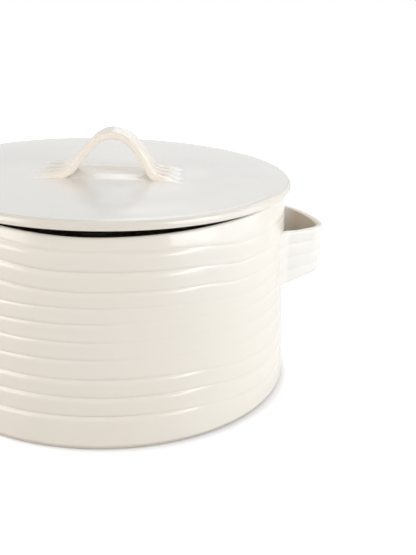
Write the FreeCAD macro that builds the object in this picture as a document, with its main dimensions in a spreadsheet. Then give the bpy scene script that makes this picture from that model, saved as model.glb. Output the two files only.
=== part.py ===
"""Covered stoneware casserole: a round pot with two strap handles and a loose lid with a strap handle.

Millimetres. The origin is the centre of the pot's base, on the surface that the pot stands on.
+X runs through the side handles, +Z is up, and the pot's front faces -Y.
"""
import FreeCAD, Part
import os
import math
import Sketcher

# Driving dimensions: alias, value, meaning. Lengths in millimetres, angles in degrees.
SIZES = [
    ("rim_radius", 120.0, "outside of the wall at the rim"),
    ("base_spread", 3.8, "how much further out the wall is at the base, as if its edge were sharp"),
    ("pot_height", 136.9, "height of the rim above the side handles"),
    ("wall", 6.0, "thickness of the pot's wall"),
    ("floor", 8.0, "thickness of the pot's floor"),
    ("base_edge", 3.5, "rounding of the pot's lower outer edge"),
    ("inner_corner", 12.0, "rounding between floor and wall, inside the pot"),
    ("rim_edge", 1.8, "rounding of the rim's two edges"),
    ("rim_crest", 75.0, "how far in front of the pot's axis the rim turns down"),
    ("rim_dip", 3.5, "how much lower the rim's front slope is, under the lid's edge, than over the handles"),
    ("rim_bend", 400.0, "radius of the rim's curve into its low front"),
    ("lid_overhang", 4.0, "how far the lid stands out over the rim"),
    ("lid_thickness", 4.7, "thickness of the lid plate"),
    ("lid_edge", 2.1, "rounding of the lid plate's edge"),
    ("lid_clearance", 0.3, "air between the rim and the lid that rests on it"),
    ("lid_tilt", 1.4, "slope of the resting lid and of the rim under it, the front higher"),
    ("flange_clearance", 3.5, "air between the pot's wall and the locating ring"),
    ("flange_thickness", 6.0, "thickness of the locating ring"),
    ("flange_depth", 4.5, "how far the locating ring drops below the lid plate"),
    ("flange_edge", 2.0, "rounding of the locating ring's lower edges"),
    ("strap", 4.6, "thickness of the side handles' strap"),
    ("strap_edge", 1.6, "rounding of the side handles' long edges"),
    ("strap_top", 108.5, "height of the side handles' upper edge"),
    ("strap_width", 34.0, "width of the side handles' strap, measured upright"),
    ("strap_flare", 4.0, "how much lower the strap is where it meets the wall"),
    ("strap_flare_run", 12.0, "length over which the strap gains that flare"),
    ("strap_corner", 10.0, "rounding of the strap's lower outer corner"),
    ("loop_reach", 24.2, "how far the handle's loop stands out past the pot's base"),
    ("front_arm", 36.8, "side of the loop's front arm, at the wall, from the XZ plane"),
    ("front_bend", 23.0, "side of the loop's front arm, at its outer bend"),
    ("back_arm", 39.5, "side of the loop's back arm, at the wall, from the XZ plane"),
    ("back_bend", 2.0, "side of the loop's back arm, at its outer bend"),
    ("front_round", 11.0, "radius of the front bend, at the middle of the strap"),
    ("back_round", 28.0, "radius of the back bend, at the middle of the strap"),
    ("root_round", 6.0, "radius of the bends where the strap enters the wall"),
    ("arch_opening", 25.2, "clear height under the lid handle"),
    ("arch_round", 16.0, "inner radius of the lid handle's crest"),
    ("arch_slope", 55.5, "slope of the lid handle's legs"),
    ("arch_strap", 4.6, "thickness of the lid handle's strap"),
    ("foot_reach", 45.5, "how far the lid handle's feet run out from its middle"),
    ("foot_edge", 1.0, "thickness of the feet at their tips"),
    ("foot_round", 16.0, "radius of the hollow between leg and foot"),
    ("crest_width", 24.0, "width of the lid handle's strap at its crest"),
    ("foot_width", 49.0, "width of the lid handle's feet at their tips"),
    ("waist_reach", 22.0, "how far out from the middle the strap starts to widen"),
    ("waist_round", 30.0, "radius of the bends where the strap starts to widen"),
    ("lid_handle_x", 1.5, "place of the lid handle on the lid, along X"),
    ("lid_handle_y", -4.5, "place of the lid handle on the lid, along Y"),
    ("lid_handle_turn", -6.0, "turn of the lid handle about the lid's axis"),
]

# Sizes that follow from the driving ones, as expressions on the sheet.
BASE_RADIUS = "(size.rim_radius + size.base_spread)"
LID_RADIUS = "(size.rim_radius + size.lid_overhang)"
ABOVE_RIM = "(size.pot_height + 4 * size.rim_dip)"
FLANGE_OUTSIDE = "(size.rim_radius - size.wall - size.flange_clearance)"
FLANGE_INSIDE = f"({FLANGE_OUTSIDE} - size.flange_thickness)"
LOOP_OUTSIDE = f"({BASE_RADIUS} + size.loop_reach)"
LOOP_END = f"({LOOP_OUTSIDE} - size.strap / 2)"
LOOP_ROOT = "(size.rim_radius - 2 * size.wall)"
ROOT_BEND = f"({LOOP_ROOT} + size.root_round)"
STRAP_MIDDLE = "(size.strap_top - size.strap_width / 2)"
STRAP_BOTTOM = "(size.strap_top - size.strap_width)"
FLARE_BOTTOM = f"({STRAP_BOTTOM} - size.strap_flare)"
BELOW_STRAP = f"({FLARE_BOTTOM} - size.strap_flare)"
ARCH_CENTRE = "(size.arch_opening - size.arch_round)"
ARCH_OUTSIDE = "(size.arch_round + size.arch_strap)"
LEG_COS = "cos(size.arch_slope * 1 deg)"
LEG_SIN = "sin(size.arch_slope * 1 deg)"
INNER_FOOT = f"(({ARCH_CENTRE} * {LEG_COS} + size.arch_round) / {LEG_SIN})"
INNER_APEX = f"({ARCH_CENTRE} + size.arch_round / {LEG_COS})"
OUTER_FOOT = f"((({ARCH_CENTRE} - size.foot_edge) * {LEG_COS} + {ARCH_OUTSIDE}) / {LEG_SIN})"
OUTER_APEX = f"({ARCH_CENTRE} + {ARCH_OUTSIDE} / {LEG_COS})"
PAST_FOOT = "(size.foot_reach + size.foot_round)"

# Places of the lid's pieces: the lid rests sloping on the rim, and its handle stands on it askew.
LID_PLACE = (
    "create(<<placement>>; create(<<vector>>; 0; 0; size.pot_height + size.lid_clearance);"
    " create(<<rotation>>; create(<<vector>>; 1; 0; 0); -size.lid_tilt))"
)
LID_HANDLE_PLACE = LID_PLACE + (
    " * create(<<placement>>; create(<<vector>>; size.lid_handle_x; size.lid_handle_y; size.lid_thickness);"
    " create(<<rotation>>; create(<<vector>>; 0; 0; 1); size.lid_handle_turn))"
)


def make_sheet(doc):
    """Put the driving dimensions in the document's sheet, one aliased cell each."""
    sheet = doc.addObject("Spreadsheet::Sheet", "size")
    for row, (alias, amount, meaning) in enumerate(SIZES, start=1):
        sheet.set(f"A{row}", str(amount))
        sheet.setAlias(f"A{row}", alias)
        sheet.set(f"B{row}", meaning)
    doc.recompute()
    return sheet


def number(owner, expression):
    """Value of an expression on the sheet, as a plain number."""
    found = owner.evalExpression(expression)
    return float(getattr(found, "Value", found))


def new_body(doc, label):
    """An empty body that carries its node's name."""
    body = doc.addObject("PartDesign::Body", label)
    body.Label = label
    return body


def new_sketch(body, name, plane, offset=None):
    """A sketch on one of the body's origin planes, moved off it along its normal if asked."""
    sketch = body.newObject("Sketcher::SketchObject", name)
    support = [found for found in body.Origin.OriginFeatures if found.Role == plane][0]
    sketch.AttachmentSupport = [(support, "")]
    sketch.MapMode = "FlatFace"
    if offset:
        sketch.setExpression("AttachmentOffset.Base.z", offset)
    return sketch


def bind(sketch, constraint, expression):
    """Add a dimension to the sketch and bind it to the sheet."""
    index = sketch.addConstraint(constraint)
    sketch.setExpression(f"Constraints[{index}]", expression)


def near_end(sketch, curve, point):
    """Which end of a curve lies at the point: 1 for its start, 2 for its end."""
    start = sketch.getPoint(curve, 1)
    end = sketch.getPoint(curve, 2)
    return 1 if start.distanceToPoint(point) < end.distanceToPoint(point) else 2


def round_corner(before, here, after, radius):
    """Where an arc of this radius leaves the two sides of a corner, and the arc's middle."""
    to_before = (before - here).normalize()
    to_after = (after - here).normalize()
    half = to_before.getAngle(to_after) / 2
    along = radius / math.tan(half)
    inward = (to_before + to_after).normalize()
    middle = here + inward * (radius / math.sin(half) - radius)
    return here + to_before * along, middle, here + to_after * along


def draw(sketch, corners, closed=True):
    """Straight sides through the corners, each (x, y) or (x, y, radius) as expressions.

    A construction point holds each corner in place, the sides run through those points,
    and a corner with a radius gets an arc that is tangent to both of its sides.
    """
    places = [FreeCAD.Vector(number(sketch, c[0]), number(sketch, c[1]), 0) for c in corners]
    count = len(corners)
    arrive = list(places)
    leave = list(places)
    middles = {}
    for index, corner in enumerate(corners):
        if len(corner) == 3:
            before = places[index - 1]
            after = places[(index + 1) % count]
            radius = number(sketch, corner[2])
            bend = round_corner(before, places[index], after, radius)
            arrive[index], middles[index], leave[index] = bend
    points = []
    for place, corner in zip(places, corners):
        point = sketch.addGeometry(Part.Point(place), True)
        bind(sketch, Sketcher.Constraint("DistanceX", -1, 1, point, 1, place.x), corner[0])
        bind(sketch, Sketcher.Constraint("DistanceY", -1, 1, point, 1, place.y), corner[1])
        points.append(point)
    sides = {}
    for index in range(count if closed else count - 1):
        following = (index + 1) % count
        side = sketch.addGeometry(Part.LineSegment(leave[index], arrive[following]))
        hold_side(sketch, side, 1, points[index], index in middles)
        hold_side(sketch, side, 2, points[following], following in middles)
        sides[index] = side
    for index, middle in middles.items():
        arc = sketch.addGeometry(Part.Arc(arrive[index], middle, leave[index]))
        before = sides[(index - 1) % count]
        first = near_end(sketch, arc, arrive[index])
        sketch.addConstraint(Sketcher.Constraint("Tangent", before, 2, arc, first))
        sketch.addConstraint(Sketcher.Constraint("Tangent", sides[index], 1, arc, 3 - first))
        radius = number(sketch, corners[index][2])
        bind(sketch, Sketcher.Constraint("Radius", arc, radius), corners[index][2])


def hold_side(sketch, side, end, point, rounded):
    """Run a side through a rounded corner's point, or end it on a sharp corner's point."""
    if rounded:
        sketch.addConstraint(Sketcher.Constraint("PointOnObject", point, 1, side))
    else:
        sketch.addConstraint(Sketcher.Constraint("Coincident", side, end, point, 1))


def revolve(body, name, sketch):
    """Turn a sketch once round its vertical axis."""
    turned = body.newObject("PartDesign::Revolution", name)
    turned.Profile = sketch
    turned.ReferenceAxis = (sketch, ["V_Axis"])
    turned.Angle = 360
    return turned


def cut_through(doc, body, name, sketch, length):
    """Cut a sketch through the body, half of the length to each side of its plane."""
    doc.recompute()
    before = body.Shape.Volume
    pocket = body.newObject("PartDesign::Pocket", name)
    pocket.Profile = sketch
    pocket.SideType = "Symmetric"
    pocket.setExpression("Length", length)
    doc.recompute()
    if body.Shape.Volume >= before:
        raise RuntimeError(f"{name} cuts nothing")


def round_edges(doc, body, name, radius, lowest):
    """Round the body's curved edges that lie wholly above a height."""
    doc.recompute()
    base = body.Tip
    picked = []
    for index, edge in enumerate(base.Shape.Edges, start=1):
        if edge.BoundBox.ZMin > lowest and edge.Curve.TypeId != "Part::GeomLine":
            picked.append(f"Edge{index}")
    fillet = body.newObject("PartDesign::Fillet", name)
    fillet.Base = (base, picked)
    fillet.setExpression("Radius", radius)


def wall_radius(height):
    """Outside radius of the pot's wall at a height."""
    return f"({BASE_RADIUS} - size.base_spread * {height} / size.pot_height)"


def rim_height(side):
    """Height of the rim's back half at a distance from the XZ plane: it slopes as the lid does."""
    return f"(size.pot_height - tan(size.lid_tilt * 1 deg) * {side})"


def make_pot_body(doc):
    """The pot: wall and floor in one piece, its rim sloping back and dipping at the front."""
    body = new_body(doc, "pot_body")
    profile = new_sketch(body, "pot_profile", "XZ_Plane")
    highest = rim_height("-size.rim_radius")
    draw(profile, [
        ("0", "0"),
        (BASE_RADIUS, "0", "size.base_edge"),
        (wall_radius(highest), highest),
        (f"{wall_radius(highest)} - size.wall", highest),
        (f"{wall_radius('size.floor')} - size.wall", "size.floor", "size.inner_corner"),
        ("0", "size.floor"),
    ])
    revolve(body, "pot_turned", profile)
    over_rim = new_sketch(body, "over_rim", "YZ_Plane")
    draw(over_rim, [
        (LID_RADIUS, rim_height(LID_RADIUS)),
        ("-size.rim_crest", rim_height("-size.rim_crest"), "size.rim_bend"),
        (f"-{LID_RADIUS}", "size.pot_height - size.rim_dip"),
        (f"-{LID_RADIUS}", ABOVE_RIM),
        (LID_RADIUS, ABOVE_RIM),
    ])
    cut_through(doc, body, "rim_cut", over_rim, f"2 * {LID_RADIUS}")
    lowest = number(profile, "size.pot_height - 2 * size.rim_dip")
    round_edges(doc, body, "rim_rounding", "size.rim_edge", lowest)
    return body


def make_side_handle(doc, label, turn):
    """A strap bent into a loop, its two arms ending on the pot's wall."""
    body = new_body(doc, label)
    route = new_sketch(body, f"{label}_route", "XY_Plane", STRAP_MIDDLE)
    draw(route, [
        (LOOP_ROOT, "-size.front_arm"),
        (ROOT_BEND, "-size.front_arm", "size.root_round"),
        (LOOP_END, "-size.front_bend", "size.front_round"),
        (LOOP_END, "size.back_bend", "size.back_round"),
        (ROOT_BEND, "size.back_arm", "size.root_round"),
        (LOOP_ROOT, "size.back_arm"),
    ], closed=False)
    section = new_sketch(body, f"{label}_section", "YZ_Plane", LOOP_ROOT)
    draw(section, [
        ("-size.front_arm - size.strap / 2", FLARE_BOTTOM, "size.strap_edge"),
        ("-size.front_arm + size.strap / 2", FLARE_BOTTOM, "size.strap_edge"),
        ("-size.front_arm + size.strap / 2", "size.strap_top", "size.strap_edge"),
        ("-size.front_arm - size.strap / 2", "size.strap_top", "size.strap_edge"),
    ])
    loop = body.newObject("PartDesign::AdditivePipe", f"{label}_loop")
    loop.Profile = section
    loop.Spine = route
    under = new_sketch(body, f"{label}_under", "XZ_Plane")
    draw(under, [
        ("size.wall", FLARE_BOTTOM),
        ("size.rim_radius", FLARE_BOTTOM),
        ("size.rim_radius + size.strap_flare_run", STRAP_BOTTOM),
        (LOOP_OUTSIDE, STRAP_BOTTOM, "size.strap_corner"),
        (LOOP_OUTSIDE, "size.strap_top"),
        (f"{LOOP_OUTSIDE} + size.strap", "size.strap_top"),
        (f"{LOOP_OUTSIDE} + size.strap", BELOW_STRAP),
        ("size.wall", BELOW_STRAP),
    ])
    cut_through(doc, body, f"{label}_trim", under, "4 * size.back_arm")
    seat = body.newObject("PartDesign::SubtractiveCone", f"{label}_seat")
    seat.setExpression("Radius1", BASE_RADIUS)
    seat.setExpression("Radius2", "size.rim_radius")
    seat.setExpression("Height", "size.pot_height")
    body.Placement = FreeCAD.Placement(FreeCAD.Vector(), FreeCAD.Rotation(FreeCAD.Vector(0, 0, 1), turn))
    return body


def make_lid_plate(doc):
    """The flat round plate with its rounded lip."""
    body = new_body(doc, "lid_plate")
    profile = new_sketch(body, "plate_profile", "XZ_Plane")
    draw(profile, [
        ("0", "0"),
        (LID_RADIUS, "0", "size.lid_edge"),
        (LID_RADIUS, "size.lid_thickness", "size.lid_edge"),
        ("0", "size.lid_thickness"),
    ])
    revolve(body, "plate_turned", profile)
    body.setExpression("Placement", LID_PLACE)
    return body


def make_lid_flange(doc):
    """The ring under the plate that drops inside the rim and keeps the lid in place."""
    body = new_body(doc, "lid_flange")
    profile = new_sketch(body, "flange_profile", "XZ_Plane")
    draw(profile, [
        (FLANGE_INSIDE, "0"),
        (FLANGE_INSIDE, "-size.flange_depth", "size.flange_edge"),
        (FLANGE_OUTSIDE, "-size.flange_depth", "size.flange_edge"),
        (FLANGE_OUTSIDE, "0"),
    ])
    revolve(body, "flange_turned", profile)
    body.setExpression("Placement", LID_PLACE)
    return body


def make_lid_handle(doc):
    """The strap arch on the lid: narrow at its crest, spread and thinned out at its feet."""
    body = new_body(doc, "lid_handle")
    arch = new_sketch(body, "arch_profile", "XZ_Plane")
    draw(arch, [
        ("size.foot_reach", "0"),
        ("size.foot_reach", "size.foot_edge"),
        (OUTER_FOOT, "size.foot_edge", "size.foot_round"),
        ("0", OUTER_APEX, ARCH_OUTSIDE),
        (f"-{OUTER_FOOT}", "size.foot_edge", "size.foot_round"),
        ("-size.foot_reach", "size.foot_edge"),
        ("-size.foot_reach", "0"),
        (f"-{INNER_FOOT}", "0"),
        ("0", INNER_APEX, "size.arch_round"),
        (INNER_FOOT, "0"),
    ])
    pad = body.newObject("PartDesign::Pad", "arch_pad")
    pad.Profile = arch
    pad.SideType = "Symmetric"
    pad.setExpression("Length", "1.5 * size.foot_width")
    for name, side in (("front_waist", "-"), ("back_waist", "")):
        waist = new_sketch(body, name, "XY_Plane")
        draw(waist, [
            (PAST_FOOT, f"{side}size.foot_width / 2"),
            ("size.foot_reach", f"{side}size.foot_width / 2"),
            ("size.waist_reach", f"{side}size.crest_width / 2", "size.waist_round"),
            ("-size.waist_reach", f"{side}size.crest_width / 2", "size.waist_round"),
            ("-size.foot_reach", f"{side}size.foot_width / 2"),
            (f"-{PAST_FOOT}", f"{side}size.foot_width / 2"),
            (f"-{PAST_FOOT}", f"{side}size.foot_width"),
            (PAST_FOOT, f"{side}size.foot_width"),
        ])
        cut_through(doc, body, f"{name}_cut", waist, "4 * size.arch_opening")
    body.setExpression("Placement", LID_HANDLE_PLACE)
    return body


def check(doc, nodes):
    """Stop if any object failed to build or any node is not one sound solid."""
    for found in doc.Objects:
        if "Invalid" in found.State or "Error" in found.State:
            raise RuntimeError(f"{found.Label} failed: {found.State}")
    for node in nodes:
        shape = node.Shape
        if shape.isNull() or not shape.isValid() or len(shape.Solids) != 1:
            raise RuntimeError(f"{node.Label} is not one valid solid")


def main():
    doc = FreeCAD.newDocument("casserole")
    make_sheet(doc)
    nodes = [
        make_pot_body(doc),
        make_side_handle(doc, "side_handle_right", 0),
        make_side_handle(doc, "side_handle_left", 180),
        make_lid_plate(doc),
        make_lid_flange(doc),
        make_lid_handle(doc),
    ]
    doc.recompute()
    check(doc, nodes)
    os.makedirs("parts", exist_ok=True)
    for node in nodes:
        node.Shape.exportStep(f"parts/{node.Label}.step")
        print(f"{node.Label}: {node.Shape.Volume / 1000:.1f} cm3, {node.Shape.BoundBox}")


main()
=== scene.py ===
"""Looks of the covered stoneware casserole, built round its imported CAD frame.

The frame's axes: +X runs through the side handles, +Z is up, and the front faces -Y. Shapes are worked
out in millimetres with numpy and turned into metres when their meshes are made. Directions round the pot
are counted from +X.
"""

import bpy
import numpy as np
from mathutils import Matrix, Vector


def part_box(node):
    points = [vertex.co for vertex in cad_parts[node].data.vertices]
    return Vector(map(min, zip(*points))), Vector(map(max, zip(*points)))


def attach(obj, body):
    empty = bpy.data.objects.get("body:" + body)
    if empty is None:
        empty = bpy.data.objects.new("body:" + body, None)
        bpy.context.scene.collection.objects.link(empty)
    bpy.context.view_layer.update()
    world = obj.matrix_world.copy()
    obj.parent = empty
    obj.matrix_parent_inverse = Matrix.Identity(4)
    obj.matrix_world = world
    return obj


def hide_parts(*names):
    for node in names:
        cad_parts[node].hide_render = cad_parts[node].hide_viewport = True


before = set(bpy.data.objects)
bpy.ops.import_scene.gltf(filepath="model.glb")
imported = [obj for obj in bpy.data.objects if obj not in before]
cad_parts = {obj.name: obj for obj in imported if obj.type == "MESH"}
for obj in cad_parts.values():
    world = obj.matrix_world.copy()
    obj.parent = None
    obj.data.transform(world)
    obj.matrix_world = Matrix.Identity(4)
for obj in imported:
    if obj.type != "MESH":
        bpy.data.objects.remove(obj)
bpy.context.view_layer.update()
MM = 0.001

# Sizes read from the frame, in millimetres.
BASE_RADIUS = (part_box("pot_body")[1] / MM).x
LID_RADIUS = (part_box("lid_plate")[1] / MM).x
LOOP_END, _, STRAP_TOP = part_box("side_handle_right")[1] / MM
FLANGE_OUTSIDE = (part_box("lid_flange")[1] / MM).x

# The pot.
POT_COLUMNS = 360
RIM_RADIUS = 120.0
WALL = 6.0
WALL_NARROWS = 0.91         # share of the wall's narrowing that lies below its top crease
FLOOR = 8.0
BASE_EDGE = 3.5
FOOT = ((104.0, 0.6), (106.0, 0.25), (107.5, 0.0), (117.0, 0.0))    # radius and height of the foot's ring
FOOT_HOLLOW = 0.7           # how far the underside stands off the floor inside that ring
INNER_CORNER = 12.0
THROWING_RINGS = 11.0       # spacing of the soft rings inside
RIM_ROUND = 1.5
RIM_FALL = np.radians(28)   # slope of the rim's top, down to the inside
RIM_INSIDE = (1.5, 1.8)     # run and drop of the rim's inner edge
WALL_BENDS = 125.0          # the wall leans in above this height
WALL_LEANS = 0.095          # half the slope that it takes there

# The throwing creases, from the top down: their heights, how far the band under each one stands out, and
# how far down it swells to that.
CREASES = (125.1, 113.2, 101.4, 91.4, 81.3, 70.3, 58.8, 46.3, 35.0, 22.4)
STAND = (1.50, 1.50, 1.00, 0.60, 0.60, 0.60, 0.75, 1.30, 1.40, 1.35)
SWELL = (2.5, 2.4, 1.6, 1.5, 1.5, 1.5, 1.4, 1.7, 1.7, 1.6)
CREASE_START = 0.5          # how much higher they all run at the left
CREASE_STEPS = ((-80, -60, -1.4), (-64, -47, -3.4), (10, 150, 4.8))   # two directions in degrees, and a rise
LEFT_RISE = 3.2             # how much higher the top three creases run at the left
CREASE_DEPTH = 0.27
WIPED = (3, 4, 5, 6)        # the creases that were smoothed away at the front
BELOW_CREASE = (0.0, 0.3, 0.6, 0.95, 1.35, 1.8, 2.4, 3.2, 4.2)    # a band's rows, as far below its top
ABOVE_CREASE = (2.2, 1.5, 1.0, 0.6, 0.3)                          # and as far above its bottom

# The lid, which rests sloping: its front is higher, and its left side a little.
LID_COLUMNS = 720
LID_TILT = np.radians(1.15)
LID_ROLL = np.radians(0.7)
LID_WARP = 0.4
LID_WARP_AT = -150          # in degrees
LID_THICKNESS = 4.7
LID_UNDER = 137.2
LIP_START = 117.0
LIP_UNDER = 0.7             # rounding of the lip's lower edge
LIP_SIDE = ((0.02, 1.5), (0.06, 2.2), (0.2, 2.6), (0.5, 3.4))       # in from the edge, and height
LIP_TOP = 2.0               # how far in the lip's rounding ends
LIP_CROWN = 0.12            # how much higher it ends than the plate
LIP_SLOPE = np.radians(20)  # where on a quarter turn that rounding starts
LIP_WIDER = 0.25            # the share by which the lip is wider away from the front
# The fine line inside the lip: how much further in, and how high over the plate.
LIP_LINE = ((0.5, 0.05), (0.9, -0.04), (1.3, -0.12), (1.7, -0.16), (2.1, -0.14), (2.6, -0.08), (3.4, -0.02))
LIP_SAG = 0.8               # how far the edge droops at the right and behind
SAG_RUN = 6.0               # how far inside the lip's start that begins
RIM_GAP = 0.4
FRONT_GAP = 5.9             # how much further the rim dips from the lid at the front
FRONT_GAP_AT = -97.0        # in degrees
FRONT_GAP_REACH = 38.0, 57.0                                        # degrees to the left and to the right
FLANGE_DEPTH = 4.5
FLANGE_WIDTH = 6.0
ARCH_PLACE = np.array([-0.7, -21.6])
ARCH_TURN = np.radians(-5.8)

# Glaze colours.
PALE = (0.823, 0.781, 0.714)
WARM = (0.819, 0.763, 0.68)
LOOP_PALE = (0.845, 0.82, 0.775)
LOOP_WARM = (0.84, 0.805, 0.75)
# The lid's glaze: a paler, more neutral copy of the pot's, as painted light and painted reflection.
LID_PALE = (0.845, 0.838, 0.812)
LID_WARM = (0.84, 0.828, 0.792)
# Brown mixed in by the crease attribute: painted shade in grooves and hollows, glaze break with painted shade
# in the pot's creases, and a browner lip and base edge.
BREAK_AND_SHADE_BROWN = (0.64, 0.56, 0.46)
# Warm tint: painted warm light on the arch's front edge, painted warm reflections and shade of the arch on
# the lid, and a warmer lid lip.
PAINTED_WARM_LIGHT = (0.91, 0.83, 0.73)
# Pale tint: smeared clay on the lid and the arch's feet, and painted light under the arch and inside the
# loops near the wall.
PALE_SMEAR_AND_LIGHT = (0.91, 0.895, 0.86)
PINHOLE = (0.30, 0.24, 0.18)

# Lid patches, first painted warm reflections and shade of the arch, then smeared clay, the first of these
# also painted light: share, middle and half size, along and across the arch.
PAINTED_REFLECTION_PATCHES = ((0.75, (0, 31), (28, 15)), (0.75, (-22, -14), (15, 30)), (0.40, (28, -12), (10, 20)))
SMEARS_AND_LIGHT_PATCHES = ((0.95, (0, 7), (40, 12)), (1.0, (52, 26), (16, 18)), (0.8, (-54, 28), (14, 18)))

# Lamps: name, direction, elevation, distance, width, height, power and colour, in degrees, metres and watts.
DAYLIGHT, WARM_LIGHT, COOL_LIGHT = (1, 1, 1), (1, 0.96, 0.91), (0.86, 0.93, 1)
LAMPS = (("key", -40, 14, 1.3, 0.7, 0.48, 6.3, (0.985, 0.995, 1)),
         ("left_softbox", -148, 14, 1.25, 0.5, 0.5, 2.9, WARM_LIGHT),
         ("side_right", -14, 6, 0.9, 0.8, 0.5, 2.5, COOL_LIGHT),
         ("side_left", 190, 22, 0.95, 0.9, 0.7, 3.4, WARM_LIGHT),
         ("back_right", 62, 44, 0.95, 0.9, 0.7, 3.0, DAYLIGHT),
         ("top", -112, 62, 1.4, 0.9, 0.9, 1.7, DAYLIGHT))
LAMP_AIM = Vector((0, 0, 0.08))
SKY_LIGHT = 0.32

# The studio floor. To the camera it turns white between two distances from a place near the pot's axis.
FLOOR_HALF = 3.0
FLOOR_CENTRE = (0.005, -0.002, 0)
FLOOR_WHITENS = 0.110, 0.148
FLOOR_GLOW = 0.85
MIRRORED_GLOW = 0.18        # share of that glow that reflections show

# The camera: its place, the turns it makes (yaw, pitch and roll), and its lens.
CAMERA_PLACE = (0, -0.60469, 0.29456)
CAMERA_TURNS = (6.589, 20.741, 1.380)
CAMERA_LENS = 59.06


# ---------------------------------------------------------------- helpers

def waves(seed, slowest, fastest, count=6):
    """A smooth seeded function round a circle, with values of about -1 to 1."""
    draw = np.random.default_rng(seed)
    turns = draw.integers(slowest, fastest + 1, count)
    phases = draw.uniform(0, 2 * np.pi, count)
    sizes = draw.uniform(0.5, 1.0, count) / np.sqrt(count)
    return lambda angle: sum(a * np.sin(n * angle + p) for a, n, p in zip(sizes, turns, phases))


def smooth(low, high, value):
    """0 at low, 1 at high, and an S curve between. Low may be the larger one."""
    share = np.clip((value - low) / (high - low), 0, 1)
    return share * share * (3 - 2 * share)


def hill(value, start, full, fade, end):
    """0 outside start and end, 1 from full to fade, and S curves between."""
    return smooth(start, full, value) * (1 - smooth(fade, end, value))


def soften(values, width):
    """A running mean that keeps the ends in place."""
    padded = np.pad(values, width, mode="edge")
    kernel = np.ones(2 * width + 1) / (2 * width + 1)
    return np.convolve(padded, kernel, mode="valid")


def smooth_object(name, corners, faces):
    """A smooth-shaded object from corners in millimetres."""
    mesh = bpy.data.meshes.new(name)
    mesh.from_pydata((corners * MM).tolist(), [], faces)
    mesh.polygons.foreach_set("use_smooth", np.ones(len(mesh.polygons), bool))
    mesh.update()
    made = bpy.data.objects.new(name, mesh)
    bpy.context.scene.collection.objects.link(made)
    return made


def skin(name, points, attributes):
    """A closed mesh over rows of points: each row is a ring, and both ends are capped."""
    rows, columns = points.shape[:2]
    index = np.arange(rows * columns).reshape(rows, columns)
    beside = np.roll(index, -1, axis=1)
    quads = np.stack([index[:-1], beside[:-1], beside[1:], index[1:]], axis=-1).reshape(-1, 4)
    first, last = np.full(columns, rows * columns), np.full(columns, rows * columns + 1)
    caps = np.concatenate([np.stack([first, beside[0], index[0]], axis=-1),
                           np.stack([last, index[-1], beside[-1]], axis=-1)])
    ends = np.stack([points[0].mean(axis=0), points[-1].mean(axis=0)])
    corners = np.concatenate([points.reshape(-1, 3), ends])
    piece = smooth_object(name, corners, quads.tolist() + caps.tolist())
    for label, values in attributes.items():
        layer = piece.data.attributes.new(label, "FLOAT", "POINT")
        flat = np.concatenate([values.reshape(-1), [values[0].mean(), values[-1].mean()]])
        layer.data.foreach_set("value", flat.astype(np.float32))
    return piece


def ring_skin(name, points):
    """A closed mesh over rows of points whose rows also join end to end, as on a ring."""
    rows, columns = points.shape[:2]
    index = np.arange(rows * columns).reshape(rows, columns)
    beside = np.roll(index, -1, axis=1)
    ahead, both = np.roll(index, -1, axis=0), np.roll(beside, -1, axis=0)
    quads = np.stack([index, beside, both, ahead], axis=-1).reshape(-1, 4)
    return smooth_object(name, points.reshape(-1, 3), quads.tolist())


def finish_piece(piece, material, body, slot, *nodes):
    """Give a piece its glaze and its place in the frame."""
    piece.data.materials.append(material)
    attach(piece, body)
    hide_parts(*nodes)


# ---------------------------------------------------------------- how the lid rests

def lid_warp(x, y):
    """How far the fired plate has warped: two sides up and two down, most at its edge."""
    angle = np.arctan2(y, x) - np.radians(LID_WARP_AT)
    return -LID_WARP * np.cos(2 * angle) * (x * x + y * y) / LID_RADIUS ** 2


def on_lid(x, y, height):
    """Places given on the flat lid, as the lid rests: height is counted from its underside."""
    resting_x = x + height * np.sin(LID_ROLL)
    resting_y = y * np.cos(LID_TILT) + height * np.sin(LID_TILT)
    resting_z = LID_UNDER + height - y * np.sin(LID_TILT) - x * np.sin(LID_ROLL) + lid_warp(x, y)
    return np.stack(np.broadcast_arrays(resting_x, resting_y, resting_z), axis=-1)


def lid_underside(angle, radius):
    """Height of the resting lid's underside above a place on the rim."""
    x, y = radius * np.cos(angle), radius * np.sin(angle)
    return LID_UNDER - np.tan(LID_TILT) * y - np.tan(LID_ROLL) * x + lid_warp(x, y)


# ---------------------------------------------------------------- the pot

def rim_height(angle):
    """The hand-trimmed rim: it follows the lid, and dips away from it at the front."""
    off = (np.degrees(angle) - FRONT_GAP_AT + 180) % 360 - 180
    reach = np.where(off < 0, *FRONT_GAP_REACH)
    gap = RIM_GAP + FRONT_GAP * np.exp(-np.abs(off / reach) ** 1.8)
    return lid_underside(angle, RIM_RADIUS) - gap


def wall_line(height):
    """Radius of the smooth wall, wider at its base."""
    return BASE_RADIUS + (RIM_RADIUS - BASE_RADIUS) * WALL_NARROWS * height / CREASES[0]


def beside_handle(angle):
    """1 where the bands were wiped smooth round the right handle, 0 elsewhere."""
    return hill(np.degrees(angle), -74, -60, 40, 70)


def crease_height(number, angle):
    """A throwing crease wanders a little, steps up and down with the others, and may rise at the left."""
    at = np.degrees(angle)
    steps = sum(step * smooth(start, end, at) for start, end, step in CREASE_STEPS)
    rise = LEFT_RISE * hill(at, -178, -140, -128, -104) if number < 3 else 0
    wander = 0.30 * waves(20 + number, 1, 5)(angle) + 0.12 * waves(50 + number, 9, 23)(angle)
    return CREASES[number] + CREASE_START + steps + rise + wander


def faded(number, angle):
    """1 where a crease was left sharp, less where the middle ones were smoothed away."""
    if number not in WIPED:
        return np.ones_like(angle)
    return 1 - 0.85 * hill(np.degrees(angle), -100, -84, -46, -30)


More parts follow.
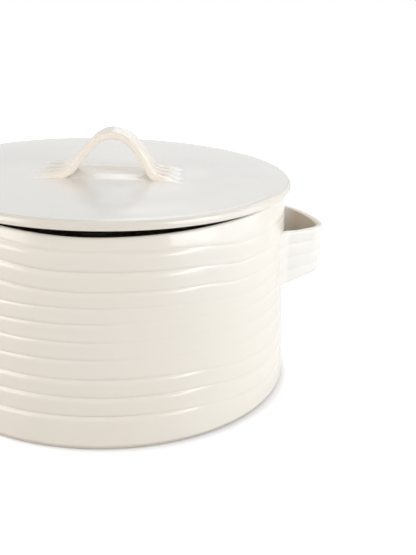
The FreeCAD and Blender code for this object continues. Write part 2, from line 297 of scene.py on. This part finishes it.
def crease_depth(number, angle):
    """The creases are cut deeper here and shallower there, and fade out beside the handle."""
    depth = CREASE_DEPTH + 0.09 * waves(80 + number, 1, 7)(angle)
    wiped = (0.45 + 0.50 * smooth(-44, -22, np.degrees(angle))) * beside_handle(angle)
    return np.clip(depth * faded(number, angle) * (1 - wiped), 0.04, 0.5)


def shoulder(number, angle):
    """How far the band under a crease stands out below it."""
    uneven = 1 + 0.22 * waves(120 + number, 1, 5)(angle)
    stand = STAND[number] * uneven * (1 - 0.80 * beside_handle(angle))
    return np.clip(stand * faded(number, angle), 0.12, 2.2)


def band_rows(span):
    """How far under a band's top its rows lie: close together at both creases and even between them."""
    fit = np.minimum(span / (BELOW_CREASE[-1] + ABOVE_CREASE[0] + 0.6), 1)
    upper, lower = BELOW_CREASE[-1] * fit, span - ABOVE_CREASE[0] * fit
    rows = [down * fit for down in BELOW_CREASE]
    rows += [upper + (lower - upper) * share for share in np.linspace(0, 1, 6)[1:-1]]
    return rows + [span - up * fit for up in ABOVE_CREASE]


def band_shape(band, angle, down, span):
    """How far a band stands out at a row, and how deep the creases at its top and bottom cut there."""
    stand, groove = 0.0, np.zeros_like(angle)
    if band > 0:
        above = band - 1
        swell = 1 - np.exp(-(down / SWELL[above]) ** 2)
        stand = shoulder(above, angle) * (1 - 0.85 * down / span) * swell
        groove = crease_depth(above, angle) * np.exp(-(down / 0.7) ** 2)
    if band < len(CREASES):
        groove = groove + crease_depth(band, angle) * np.exp(-((span - down) / 0.8) ** 2)
    return stand, groove


def outer_wall(angle):
    """Radius, height and crease browning of the banded wall's rows, from the rim's rounding down to the
    base's.
    """
    levels = [rim_height(angle) - RIM_ROUND]
    levels += [crease_height(number, angle) for number in range(len(CREASES))]
    levels.append(np.full_like(angle, BASE_EDGE))
    rows = []
    for band, (upper, lower) in enumerate(zip(levels, levels[1:])):
        span = upper - lower
        for down in band_rows(span):
            stand, groove = band_shape(band, angle, down, span)
            # The third value browns the creases: glaze break and painted shade.
            rows.append((wall_line(upper - down) + stand - groove, upper - down, 0.6 * groove))
    rows.append((wall_line(levels[-1]) + 0.1, levels[-1], np.zeros_like(angle)))
    radius, height, break_and_shade = np.stack([np.stack(row) for row in rows], axis=1)
    above = height - WALL_BENDS
    lean = WALL_LEANS - 0.03 * beside_handle(angle - np.radians(18))
    radius = radius - lean * (above + np.sqrt(above ** 2 + 2))
    radius = radius + 0.35 * waves(7, 2, 4)(angle) * (0.4 + height / 200)
    return radius, height, break_and_shade


def foot_rings(edge_radius):
    """Rings of the underside and the base's rounded edge."""
    # The third value browns the foot ring a little and the base's rounded edge more.
    rings = [(radial, FOOT_HOLLOW, 0) for radial in (0.0, 30.0, 60.0, 85.0, 100.0)]
    rings += [(radial, level, 0.2) for radial, level in FOOT]
    for turn in np.linspace(-np.pi / 2, 0, 7)[:-1]:
        rings.append((edge_radius + BASE_EDGE * np.cos(turn), BASE_EDGE * (1 + np.sin(turn)), 0.6))
    return rings


def rim_rings(top_radius, top_height):
    """Rings of the rim: its rounded outer edge, its falling top and its inner edge."""
    rings = []
    for turn in np.linspace(0, np.pi / 2 + RIM_FALL, 9)[1:]:
        rings.append((top_radius - RIM_ROUND * (1 - np.cos(turn)), top_height + RIM_ROUND * np.sin(turn), 0))
    crest_radius, crest_height, _ = rings[-1]
    run = WALL - RIM_ROUND * (1 + np.sin(RIM_FALL)) - RIM_INSIDE[0]
    for inward in (0.33 * run, 0.67 * run, run):
        rings.append((crest_radius - inward, crest_height - inward * np.tan(RIM_FALL), 0))
    inner_radius = top_radius - WALL
    inner_height = rings[-1][1] - RIM_INSIDE[1]
    rings.append((inner_radius + 0.4, inner_height + RIM_INSIDE[1] / 2, 0))
    rings.append((inner_radius, inner_height, 0))
    return rings


def inside_rings(top_radius, top_height, angle):
    """Rings of the inner wall, the rounded corner and the floor, with soft throwing rings."""
    corner_height = FLOOR + INNER_CORNER
    foot_radius = wall_line(corner_height) - WALL
    rings = []
    for share in np.linspace(0, 1, 30)[1:]:
        level = top_height + (corner_height - top_height) * share
        ripple = 0.35 * np.sin(level / THROWING_RINGS * 2 * np.pi + angle) * smooth(0, 0.1, share)
        rings.append((top_radius + (foot_radius - top_radius) * share + ripple, level, 0))
    for turn in np.linspace(0, np.pi / 2, 9)[1:]:
        radial = foot_radius - INNER_CORNER * (1 - np.cos(turn))
        rings.append((radial, corner_height - INNER_CORNER * np.sin(turn), 0))
    for radial in (92.0, 76.0, 60.0, 44.0, 28.0, 14.0, 0.0):
        rings.append((radial, FLOOR + 0.4 * np.sin(radial / 8), 0))
    return rings


def pot_piece(glaze):
    """The thrown pot, one skin over underside, outer wall, rim, inner wall and floor."""
    angle = np.linspace(0, 2 * np.pi, POT_COLUMNS, endpoint=False)
    angle = (angle + np.pi) % (2 * np.pi) - np.pi
    radius, height, break_and_shade = outer_wall(angle)
    rings = foot_rings(radius[-1] - BASE_EDGE)
    rings += zip(radius[::-1], height[::-1], break_and_shade[::-1])
    rings += rim_rings(radius[0], height[0])
    rings += inside_rings(*rings[-1][:2], angle)
    rings = [np.stack(np.broadcast_arrays(*ring, angle)[:3]) for ring in rings]
    radii, heights, creased = np.stack(rings, axis=1)
    radii = np.maximum(radii, 0.05)
    points = np.stack([radii * np.cos(angle), radii * np.sin(angle), heights], axis=-1)
    piece = skin("pot", points, {"crease": creased})
    finish_piece(piece, glaze, "pot", "pot_glaze", "pot_body")


# ---------------------------------------------------------------- straps

def rounded_path(corners, radii, spacing=0.6):
    """Dense points along straight runs that bend through the corners with these radii."""
    corners = [np.array(corner, float) for corner in corners]
    run_start = corners[0]
    dense = []
    for before, here, after, radius in zip(corners, corners[1:], corners[2:], radii):
        back = (before - here) / np.linalg.norm(before - here)
        ahead = (after - here) / np.linalg.norm(after - here)
        half = np.arccos(np.clip(back @ ahead, -1, 1)) / 2
        reach = radius / np.tan(half)
        inward = (back + ahead) / np.linalg.norm(back + ahead)
        centre = here + inward * radius / np.sin(half)
        start, end = here + back * reach, here + ahead * reach
        dense.append(straight(run_start, start, spacing))
        dense.append(arc(centre, start, end, spacing))
        run_start = end
    dense.append(straight(run_start, corners[-1], spacing))
    return np.concatenate(dense + [corners[-1][None]])


def straight(start, end, spacing):
    """Points from start to just before end."""
    count = max(2, int(np.linalg.norm(end - start) / spacing))
    share = np.arange(count)[:, None] / count
    return start + (end - start) * share


def arc(centre, start, end, spacing):
    """Points round a centre, the short way from start to just before end."""
    from_centre = np.arctan2(*(start - centre)[::-1])
    turn = np.arctan2(*(end - centre)[::-1]) - from_centre
    turn = (turn + np.pi) % (2 * np.pi) - np.pi
    radius = np.linalg.norm(start - centre)
    count = max(3, int(abs(turn) * radius / spacing))
    angle = from_centre + turn * np.arange(count) / count
    return centre + radius * np.stack([np.cos(angle), np.sin(angle)], axis=-1)


def strap_section(top_points=44, under_points=14, edge_points=7):
    """Places round a strap's section, as three rows.

    They say how far across its flat middle a place lies, from -1 to 1, how far out into the rounding of
    that edge, from 0 to 1, and how high, 1 on the outer face and -1 on the inner one.
    """
    turn = np.linspace(0, np.pi / 2, edge_points + 1)[1:]
    out, up = np.sin(turn) ** 0.6, np.cos(turn) ** 0.6
    parts = ((-1, out[::-1], up[::-1]),
             (np.linspace(-1, 1, top_points), 0, 1),
             (1, out, up),
             (1, out[-2::-1], -up[-2::-1]),
             (np.linspace(1, -1, under_points), 0, -1),
             (-1, out[:-1], -up[:-1]))
    return np.concatenate([np.stack(np.broadcast_arrays(*part)) for part in parts], axis=1)


def strap(name, path, low, high, thick, ridge, edge, place, lean=None, inner_shade=0.0, warm_edge=0.0,
          smear_and_painted_light=(0.0, 0.0), break_and_shade=0.0, ridges=4):
    """A pulled clay strap along a path in its own plane, put in its place by the function place.

    low and high are the strap's two edges at each point of the path, thick its thickness, and edge the
    rounding of its edges. ridge is the height of the ridges that the fingers left along its outer side,
    and ridges how many there are. lean says how far in it leans at a level. The four shares before
    ridges say how much browner its inner side is, as painted shade, how much warmer its low edge, as
    painted warm light, how much paler its outer and its inner side, as smeared clay and painted light,
    and how much browner its outer side, as painted shade.
    """
    along = np.gradient(path, axis=0)
    along /= np.linalg.norm(along, axis=1)[:, None]
    outward = np.stack([-along[:, 1], along[:, 0]], axis=-1)[:, None, :]
    ridge = ridge[:, None]
    middle, beyond, height = strap_section()
    centre, half = ((high + low) / 2)[:, None], ((high - low) / 2)[:, None]
    rounded = np.clip(edge / half, 0.02, 0.5)
    across = middle * (1 - rounded) + np.sign(middle) * beyond * rounded
    level = centre + half * across

    outer = height > 0
    inner = smooth(0.6, -0.6, height)
    wander = 0.04 * np.sin(np.linspace(0, 6, len(path)))[:, None]
    scallop = np.abs(np.sin((across + 1 + wander) / 2 * np.pi * ridges)) ** 0.7
    raised = ridge * (scallop - 0.7) * outer * (1 - beyond)
    offset = height * thick[:, None] / 2 + raised
    plane = path[:, None, :] + outward * offset[..., None]
    if lean is not None:
        plane = plane - outward * lean(level, path)[..., None]

    # Painted shade: browner grooves between the ridges, and browner outer and inner sides by their shares.
    grooves = np.clip(0.55 - scallop, 0, 1) * np.clip(ridge - 0.4, 0.2, 1.8) * (1 - beyond)
    crease = (grooves + break_and_shade) * outer + inner_shade * inner
    # Painted warm light on the low edge's rounding and, on the legs, the low quarter of the outer side.
    rounding = warm_edge * (middle < 0) * beyond ** 2
    low_quarter = warm_edge * smooth(-0.2, -0.8, middle) * outer * (ridge > 1)
    warm = np.maximum(rounding, low_quarter)
    # Paler outer and inner sides: smeared clay, and painted light on the loops' inner side.
    pale = smear_and_painted_light[0] * outer + smear_and_painted_light[1] * inner * np.ones_like(level)
    points = place(plane[..., 0], plane[..., 1], level)
    return skin(name, points, {"crease": crease, "warm": warm, "smear_and_painted_light": pale})


def side_handle(name, glaze, cad_node, turn):
    """One loop handle: a strap that leaves the wall, bends round and comes back to it."""
    end = LOOP_END - 3.3
    corners = [(103.5, 57.0), (118.0, 40.0), (end, 5.0), (end, -22.6), (116.6, -35.9), (108.2, -50.5)]
    path = rounded_path(corners[::-1], [9.0, 15.0, 52.0, 12.0])[::-1]
    length = np.concatenate([[0], np.cumsum(np.linalg.norm(np.diff(path, axis=0), axis=1))])
    from_end = np.minimum(length, length[-1] - length)
    out = smooth(121, 132, np.hypot(path[:, 0], path[:, 1]))
    thick = np.interp(from_end, [0, 6, 16, 24, 44, 60], [0.3, 1.8, 4.2, 4.6, 4.6, 5.6])
    high = STRAP_TOP + 1.5 * (1 - out) + 0.8 * smooth(5, 30, path[:, 1]) - 0.3 * np.sin(length / 9)
    low = 74.6 - np.interp(from_end, [0, 10, 18, 30], [6.0, 3.8, 1.8, 0.0]) + 0.4 * np.sin(length / 7 + 1)
    ridge = np.interp(from_end, [0, 10, 20], [0.2, 0.35, 0.5])
    thick, high, low = soften(thick, 6), soften(high, 6), soften(low, 8)
    # Painted shade: the inner side browner away from the strap's ends.
    inner_shade = 1.1 * smooth(40, 56, from_end)[:, None]
    # Painted light: the inner side paler near the wall.
    smear_and_painted_light = 0.0, 1.0 - smooth(32, 48, from_end)[:, None]
    # Painted shade: the outer side a little browner where the strap meets the wall.
    break_and_shade = 0.12 * (1 - smooth(8, 20, from_end))[:, None]

    def lean(level, places):
        far = smooth(128, 143, np.hypot(places[:, 0], places[:, 1]))[:, None]
        down = STRAP_TOP - level
        return far * (1.5 * down / 31 + 3.0 * np.clip((down - 28) / 8, 0, 2) ** 2)

    def place(x, y, level):
        cos, sin = np.cos(turn), np.sin(turn)
        return np.stack([x * cos - y * sin, x * sin + y * cos, level], axis=-1)

    piece = strap(name, path, low, high, thick, ridge, 1.6, place, lean, inner_shade, smear_and_painted_light=smear_and_painted_light, break_and_shade=break_and_shade)
    finish_piece(piece, glaze, "pot", "handle_glaze", cad_node)


def lid_handle(glaze):
    """The arch on the lid, its feet fanned out and smeared down onto the plate."""
    corners = [(-58, -0.7), (-26.0, 0.3), (-16.8, 13.6), (3.8, 37.6), (22.1, 14.4), (30.0, 0.3), (58, -0.7)]
    path = rounded_path(corners, [20.0, 24.0, 16.8, 24.0, 11.0])
    along = path[:, 0]
    off = np.abs(along)
    low = np.interp(along, [-58, -46, -36, -29, -15, 0, 15, 29, 36, 46, 58],
                    [-1, -4, -2, 0, 2.5, 3, 2.5, 0, -2.5, -7, -5])
    high = np.interp(along, [-58, -48, -40, -29, -15, 0, 15, 29, 38, 46, 58],
                     [38, 47, 49, 36, 28, 27, 27, 33, 42, 42, 35])
    thick = np.interp(off, [0, 8, 14, 20, 28, 34, 40, 48, 58], [4.6, 4.7, 4.6, 4.4, 4.5, 4.0, 3.0, 1.6, 0.5])
    ridge = np.interp(off, [0, 14, 24, 33, 42, 50], [0.25, 0.6, 1.4, 2.3, 1.1, 0.0])
    low, high, thick = soften(low, 7), soften(high, 7), soften(thick, 7)
    smear_and_painted_light = 0.9 * smooth(36, 47, off)[:, None], 0.0
    # Painted shade: the outer side of the right foot browner.
    break_and_shade = 0.3 * hill(along, 24, 32, 40, 48)[:, None]

    def place(s, height, across):
        ragged = np.abs(s) + 3.0 * np.sin(0.5 * across + np.sign(s))
        height = height - 1.6 * smooth(42, 58, ragged)
        x = ARCH_PLACE[0] + s * np.cos(ARCH_TURN) - across * np.sin(ARCH_TURN)
        y = ARCH_PLACE[1] + s * np.sin(ARCH_TURN) + across * np.cos(ARCH_TURN)
        return on_lid(x, y, height + LID_THICKNESS)

    # Its front edge and the legs' front quarter are painted warmer, as warm light.
    piece = strap("lid_strap", path, low, high, thick, ridge, 1.3, place, warm_edge=1.0, smear_and_painted_light=smear_and_painted_light,
                  break_and_shade=break_and_shade)
    finish_piece(piece, glaze, "lid", "lid_handle_glaze", "lid_handle")


# ---------------------------------------------------------------- the lid

def beside_arch(x, y):
    """How far a place on the lid lies along and across the line between the arch's feet."""
    off_x, off_y = x - ARCH_PLACE[0], y - ARCH_PLACE[1]
    along = off_x * np.cos(ARCH_TURN) + off_y * np.sin(ARCH_TURN)
    across = off_y * np.cos(ARCH_TURN) - off_x * np.sin(ARCH_TURN)
    return along, across


def patches(x, y, spots):
    """Soft oval patches on the lid, each with its share at its middle."""
    along, across = beside_arch(x, y)
    total = np.zeros_like(along)
    for share, middle, half in spots:
        far = ((along - middle[0]) / half[0]) ** 2 + ((across - middle[1]) / half[1]) ** 2
        total += share * np.exp(-far ** 1.5)
    return total


def smeared_clay(x, y):
    """The low swell of clay pressed down between the feet: it rises from the front and ends behind."""
    along, across = beside_arch(x, y)
    rise = smooth(0, 10, across)
    fall = (1 - 0.5 * np.clip((across - 11) / 28, 0, 1)) * (1 - smooth(35, 45, across))
    return 1.3 * rise * fall * (1 - smooth(32, 46, np.abs(along)))


def lid_profile():
    """Radius and height of the plate's section, from under its middle, round its lip, to its top's middle."""
    profile = [(radial, 0.0) for radial in (0.0, 40.0, 80.0, 100.0, 112.0, 119.0, 122.0)]
    for turn in np.linspace(-np.pi / 2, 0, 6):
        profile.append((LID_RADIUS - LIP_UNDER * (1 - np.cos(turn)), LIP_UNDER * (1 + np.sin(turn))))
    profile += [(LID_RADIUS - inward, level) for inward, level in LIP_SIDE]
    inward, level = LIP_SIDE[-1]
    for turn in np.linspace(LIP_SLOPE, np.pi / 2, 8)[1:]:
        run = (np.cos(LIP_SLOPE) - np.cos(turn)) / np.cos(LIP_SLOPE)
        rise = (np.sin(turn) - np.sin(LIP_SLOPE)) / (1 - np.sin(LIP_SLOPE))
        profile.append((LID_RADIUS - inward - (LIP_TOP - inward) * run,
                        level + (LID_THICKNESS + LIP_CROWN - level) * rise))
    profile += [(LID_RADIUS - LIP_TOP - run, LID_THICKNESS + rise) for run, rise in LIP_LINE]
    profile += [(radial, LID_THICKNESS) for radial in np.linspace(LIP_START - 3, 0, 70)]
    return profile


def lid_level(radial, height, x, y, angle, front, wobble, dish):
    """Height of the hand-made plate at a place of its section, with its fine line only at the front."""
    top, in_lip = height > LID_THICKNESS / 2, radial > LIP_START
    level = height
    if top:
        level = level + 0.18 * wobble * (radial / LID_RADIUS) ** 2
    if in_lip and not top:
        level = level - 0.5 * np.exp(-((angle + np.pi / 2) / 0.7) ** 2)
    if in_lip and height > LID_THICKNESS - 0.3:
        level = level + (LID_THICKNESS - height) * (1 - front)
    if top and radial > LIP_START - SAG_RUN:
        bend = ((radial - LIP_START + SAG_RUN) / (LID_RADIUS - LIP_START + SAG_RUN)) ** 2
        sag = hill(np.degrees(angle), -35, -5, 150, 178)
        level = level - LIP_SAG * sag * bend * smooth(2, LID_THICKNESS, height)
    if top and radial < LIP_START:
        level = level + 0.10 * np.sin(radial / 6.5 + dish) + smeared_clay(x, y)
    return np.broadcast_to(level, angle.shape)


def lid_piece(glaze):
    """The plate: a flat top with a fine line inside its rounded lip, deepest at the front."""
    angle = np.linspace(-np.pi, np.pi, LID_COLUMNS, endpoint=False)
    front = hill(np.degrees(angle), -178, -165, -50, -22)
    edge = LID_RADIUS + 0.35 * waves(301, 2, 5)(angle)
    wobble, dish = waves(303, 1, 3)(angle), waves(305, 1, 2)(angle)
    lip_inside = LID_RADIUS - LIP_TOP
    rows, break_and_shade, warm, smear_and_painted_light = [], [], [], []
    for radial, height in lid_profile():
        top = height > LID_THICKNESS / 2
        reach = radial
        if top and radial > LIP_START:
            reach = LID_RADIUS - (LID_RADIUS - radial) * (1 + LIP_WIDER - LIP_WIDER * front)
        x = reach * edge / LID_RADIUS * np.cos(angle)
        y = reach * edge / LID_RADIUS * np.sin(angle)
        rows.append(on_lid(x, y, lid_level(radial, height, x, y, angle, front, wobble, dish)))
        # The lip is browner and warmer all round; the fine line inside it is browned at the front as painted
        # shade; the patches add painted warm reflections and shade of the arch, and smeared clay, under the
        # arch's front also painted light.
        lip = smooth(lip_inside - 0.5, lip_inside + 1.0, radial)
        line = top * np.exp(-((radial - lip_inside + 1.9) / 0.8) ** 2)
        break_and_shade.append(0.55 * lip + 0.8 * front * line)
        warm.append(0.25 * lip + top * patches(x, y, PAINTED_REFLECTION_PATCHES))
        smear_and_painted_light.append(top * patches(x, y, SMEARS_AND_LIGHT_PATCHES))
    attributes = {"crease": np.stack(break_and_shade), "warm": np.stack(warm), "smear_and_painted_light": np.stack(smear_and_painted_light)}
    piece = skin("lid", np.stack(rows), attributes)
    finish_piece(piece, glaze, "lid", "lid_glaze", "lid_plate")


def flange_piece(glaze):
    """The locating ring under the lid, a rolled coil of clay pressed on."""
    angle = np.linspace(0, 2 * np.pi, 240, endpoint=False)
    half = FLANGE_WIDTH / 2
    middle, inside = FLANGE_OUTSIDE - half, FLANGE_OUTSIDE - FLANGE_WIDTH
    section = [(inside, 0.3), (inside, -0.5)]
    for turn in np.linspace(np.pi, 2 * np.pi, 13):
        section.append((middle + half * np.cos(turn), half - FLANGE_DEPTH + half * np.sin(turn)))
    section += [(FLANGE_OUTSIDE, -0.9), (FLANGE_OUTSIDE + 0.15, -0.3), (FLANGE_OUTSIDE + 0.6, 0.3)]
    radius, height = np.array(section).T
    points = on_lid(np.outer(np.cos(angle), radius), np.outer(np.sin(angle), radius), height)
    piece = ring_skin("lid_ring", points)
    finish_piece(piece, glaze, "lid", "lid_glaze", "lid_flange")


# ---------------------------------------------------------------- materials

def node(tree, kind, **inputs):
    """A new node with these values on its inputs."""
    made = tree.nodes.new(kind)
    for key, value in inputs.items():
        made.inputs[key.replace("_", " ")].default_value = value
    return made


def maths(tree, operation, first, second):
    """What a Math node makes of two outputs."""
    made = tree.nodes.new("ShaderNodeMath")
    made.operation = operation
    tree.links.new(first, made.inputs[0])
    tree.links.new(second, made.inputs[1])
    return made.outputs["Value"]


def mixed(tree, first, second, share):
    """A colour between two: each is a colour or another node's output, and share is an output."""
    blend = tree.nodes.new("ShaderNodeMix")
    blend.data_type = "RGBA"
    for side, colour in (("A", first), ("B", second)):
        if isinstance(colour, tuple):
            blend.inputs[side].default_value = (*colour, 1)
        else:
            tree.links.new(colour, blend.inputs[side])
    tree.links.new(share, blend.inputs["Factor"])
    return blend.outputs["Result"]


def ranged(tree, value, low, high, to_low=0.0, to_high=1.0):
    """A value carried smoothly from one range to another."""
    made = node(tree, "ShaderNodeMapRange", From_Min=low, From_Max=high, To_Min=to_low, To_Max=to_high)
    made.interpolation_type = "SMOOTHSTEP"
    tree.links.new(value, made.inputs["Value"])
    return made.outputs["Result"]


def either_shader(tree, share, first, second):
    """The first shader where share is 0, and the second where it is 1."""
    pick = tree.nodes.new("ShaderNodeMixShader")
    tree.links.new(share, pick.inputs["Fac"])
    tree.links.new(first, pick.inputs[1])
    tree.links.new(second, pick.inputs[2])
    return pick.outputs["Shader"]


def glaze_colour(tree, place, pale, warm, break_and_shade, pinholes):
    """Paler and warmer in soft clouds, with a few pinholes; browner by the crease attribute (glaze break and
    painted shade), warmer by the warm one (painted warm light and reflection, and a warmer lip), paler by the
    smear one (smeared clay and painted light).
    """
    clouds = node(tree, "ShaderNodeTexNoise", Scale=7.0, Detail=2.0, Roughness=0.5)
    tree.links.new(place, clouds.inputs["Vector"])
    colour = mixed(tree, pale, warm, ranged(tree, clouds.outputs["Fac"], 0.25, 0.75))
    for label, tint in (("crease", break_and_shade), ("warm", PAINTED_WARM_LIGHT), ("smear_and_painted_light", PALE_SMEAR_AND_LIGHT)):
        share = tree.nodes.new("ShaderNodeAttribute")
        share.attribute_name = label
        colour = mixed(tree, colour, tint, share.outputs["Fac"])
    cells = node(tree, "ShaderNodeTexVoronoi", Scale=55.0)
    tree.links.new(place, cells.inputs["Vector"])
    cell_colour = tree.nodes.new("ShaderNodeSeparateColor")
    tree.links.new(cells.outputs["Color"], cell_colour.inputs["Color"])
    chosen = ranged(tree, cell_colour.outputs["Red"], 0.99 - pinholes, 1.01 - pinholes)
    close = ranged(tree, cells.outputs["Distance"], 0.012, 0.030, 0.75, 0.0)
    return mixed(tree, colour, PINHOLE, maths(tree, "MULTIPLY", chosen, close))


def glaze_material(name, pale, warm, break_and_shade, rough, pinholes=0.19):
    """Cream glaze, glossy over a fine unevenness."""
    material = bpy.data.materials.new(name)
    material.use_nodes = True
    tree = material.node_tree
    shader = tree.nodes["Principled BSDF"]
    place = tree.nodes.new("ShaderNodeTexCoord").outputs["Object"]
    tree.links.new(glaze_colour(tree, place, pale, warm, break_and_shade, pinholes), shader.inputs["Base Color"])
    fine = node(tree, "ShaderNodeTexNoise", Scale=38.0, Detail=3.0, Roughness=0.5)
    tree.links.new(place, fine.inputs["Vector"])
    roughness = ranged(tree, fine.outputs["Fac"], 0.3, 0.7, rough - 0.02, rough + 0.03)
    tree.links.new(roughness, shader.inputs["Roughness"])
    bump = node(tree, "ShaderNodeBump", Strength=0.12, Distance=0.0006)
    tree.links.new(fine.outputs["Fac"], bump.inputs["Height"])
    tree.links.new(bump.outputs["Normal"], shader.inputs["Normal"])
    shader.inputs["IOR"].default_value = 1.5
    return material


# ---------------------------------------------------------------- stage

def seen_directly(tree):
    """1 for rays from the camera, a reflection or a clear material, and 0 for the rays that carry light."""
    path = tree.nodes.new("ShaderNodeLightPath")
    seen = maths(tree, "MAXIMUM", path.outputs["Is Camera Ray"], path.outputs["Is Glossy Ray"])
    return maths(tree, "MAXIMUM", seen, path.outputs["Is Transmission Ray"])


def white_floor(tree):
    """Floor as it is seen: shaded under the pot and white farther away, and less so in reflections."""
    contact = node(tree, "ShaderNodeAmbientOcclusion", Distance=0.020)
    white = tree.nodes.new("ShaderNodeBsdfDiffuse")
    shade = mixed(tree, (0.70, 0.71, 0.73), (1.0, 1.0, 1.0), contact.outputs["AO"])
    tree.links.new(shade, white.inputs["Color"])
    distance = tree.nodes.new("ShaderNodeVectorMath")
    distance.operation = "DISTANCE"
    distance.inputs[1].default_value = FLOOR_CENTRE
    tree.links.new(tree.nodes.new("ShaderNodeTexCoord").outputs["Object"], distance.inputs[0])
    rise = ranged(tree, distance.outputs["Value"], *FLOOR_WHITENS, to_high=FLOOR_GLOW)
    share = node(tree, "ShaderNodeMapRange", To_Min=MIRRORED_GLOW)
    tree.links.new(tree.nodes.new("ShaderNodeLightPath").outputs["Is Camera Ray"], share.inputs["Value"])
    glow = node(tree, "ShaderNodeEmission", Color=(1, 1, 1, 1))
    tree.links.new(maths(tree, "MULTIPLY", rise, share.outputs["Result"]), glow.inputs["Strength"])
    lifted = tree.nodes.new("ShaderNodeAddShader")
    tree.links.new(white.outputs["BSDF"], lifted.inputs[0])
    tree.links.new(glow.outputs["Emission"], lifted.inputs[1])
    return lifted.outputs["Shader"]


def floor_material():
    """Pale floor that keeps the pot's shadow. Where it is seen, it turns white farther from the pot."""
    material = bpy.data.materials.new("studio_floor")
    material.use_nodes = True
    tree = material.node_tree
    tree.nodes.clear()
    output = tree.nodes.new("ShaderNodeOutputMaterial")
    matte = node(tree, "ShaderNodeBsdfDiffuse", Color=(0.80, 0.80, 0.80, 1))
    surface = either_shader(tree, seen_directly(tree), matte.outputs["BSDF"], white_floor(tree))
    tree.links.new(surface, output.inputs["Surface"])
    return material


def make_floor():
    """One large square under the pot."""
    corners = [(x * FLOOR_HALF, y * FLOOR_HALF, 0) for x, y in ((-1, -1), (1, -1), (1, 1), (-1, 1))]
    mesh = bpy.data.meshes.new("floor")
    mesh.from_pydata(corners, [], [(0, 1, 2, 3)])
    floor = bpy.data.objects.new("floor", mesh)
    bpy.context.scene.collection.objects.link(floor)
    mesh.materials.append(floor_material())


def make_world():
    """White where it is seen, and a softer white as light on the object."""
    world = bpy.data.worlds.new("studio")
    bpy.context.scene.world = world
    world.use_nodes = True
    tree = world.node_tree
    tree.nodes.clear()
    output = tree.nodes.new("ShaderNodeOutputWorld")
    seen = node(tree, "ShaderNodeBackground", Color=(1, 1, 1, 1), Strength=1.0).outputs["Background"]
    light = node(tree, "ShaderNodeBackground", Color=(1, 1, 1, 1), Strength=SKY_LIGHT).outputs["Background"]
    tree.links.new(either_shader(tree, seen_directly(tree), light, seen), output.inputs["Surface"])


def softbox(name, azimuth, elevation, distance, width, height, power, colour):
    """A rectangular studio light that faces the middle of the dish."""
    lamp = bpy.data.lights.new(name, "AREA")
    lamp.shape = "RECTANGLE"
    lamp.size, lamp.size_y = width, height
    lamp.energy = power
    lamp.color = colour
    box = bpy.data.objects.new(name, lamp)
    azimuth, elevation = np.radians(azimuth), np.radians(elevation)
    level = np.cos(elevation)
    away = Vector((np.cos(azimuth) * level, np.sin(azimuth) * level, np.sin(elevation)))
    box.location = LAMP_AIM + away * distance
    box.rotation_euler = (-away).to_track_quat("-Z", "Y").to_euler()
    bpy.context.scene.collection.objects.link(box)


def make_camera():
    """From a little above, turned and tilted slightly, so that the dish runs out of the frame at the left."""
    yaw, pitch, roll = np.radians(CAMERA_TURNS)
    ahead = Vector((np.sin(yaw) * np.cos(pitch), np.cos(yaw) * np.cos(pitch), -np.sin(pitch)))
    level = Vector((np.cos(yaw), -np.sin(yaw), 0))
    over = level.cross(ahead)
    right = np.cos(roll) * level + np.sin(roll) * over
    up = -np.sin(roll) * level + np.cos(roll) * over
    lens = bpy.data.cameras.new("camera")
    lens.sensor_fit = "VERTICAL"
    lens.sensor_height = 36.0
    lens.lens = CAMERA_LENS
    camera = bpy.data.objects.new("camera", lens)
    turned = Matrix((right, up, -ahead)).transposed()
    camera.matrix_world = Matrix.Translation(CAMERA_PLACE) @ turned.to_4x4()
    bpy.context.scene.collection.objects.link(camera)
    bpy.context.scene.camera = camera


# ---------------------------------------------------------------- the scene

pot_glaze = glaze_material("pot_glaze", PALE, WARM, BREAK_AND_SHADE_BROWN, 0.17)
handle_glaze = glaze_material("handle_glaze", LOOP_PALE, LOOP_WARM, BREAK_AND_SHADE_BROWN, 0.22)
lid_glaze = glaze_material("lid_glaze", LID_PALE, LID_WARM, BREAK_AND_SHADE_BROWN, 0.19, pinholes=0.0)
arch_glaze = glaze_material("lid_handle_glaze", PALE, WARM, BREAK_AND_SHADE_BROWN, 0.20)

pot_piece(pot_glaze)
side_handle("right_loop", handle_glaze, "side_handle_right", 0.0)
side_handle("left_loop", handle_glaze, "side_handle_left", np.pi)
lid_piece(lid_glaze)
flange_piece(lid_glaze)
lid_handle(arch_glaze)

make_floor()
make_world()
for lamp in LAMPS:
    softbox(*lamp)
make_camera()
bpy.context.scene.view_settings.view_transform = "Standard"
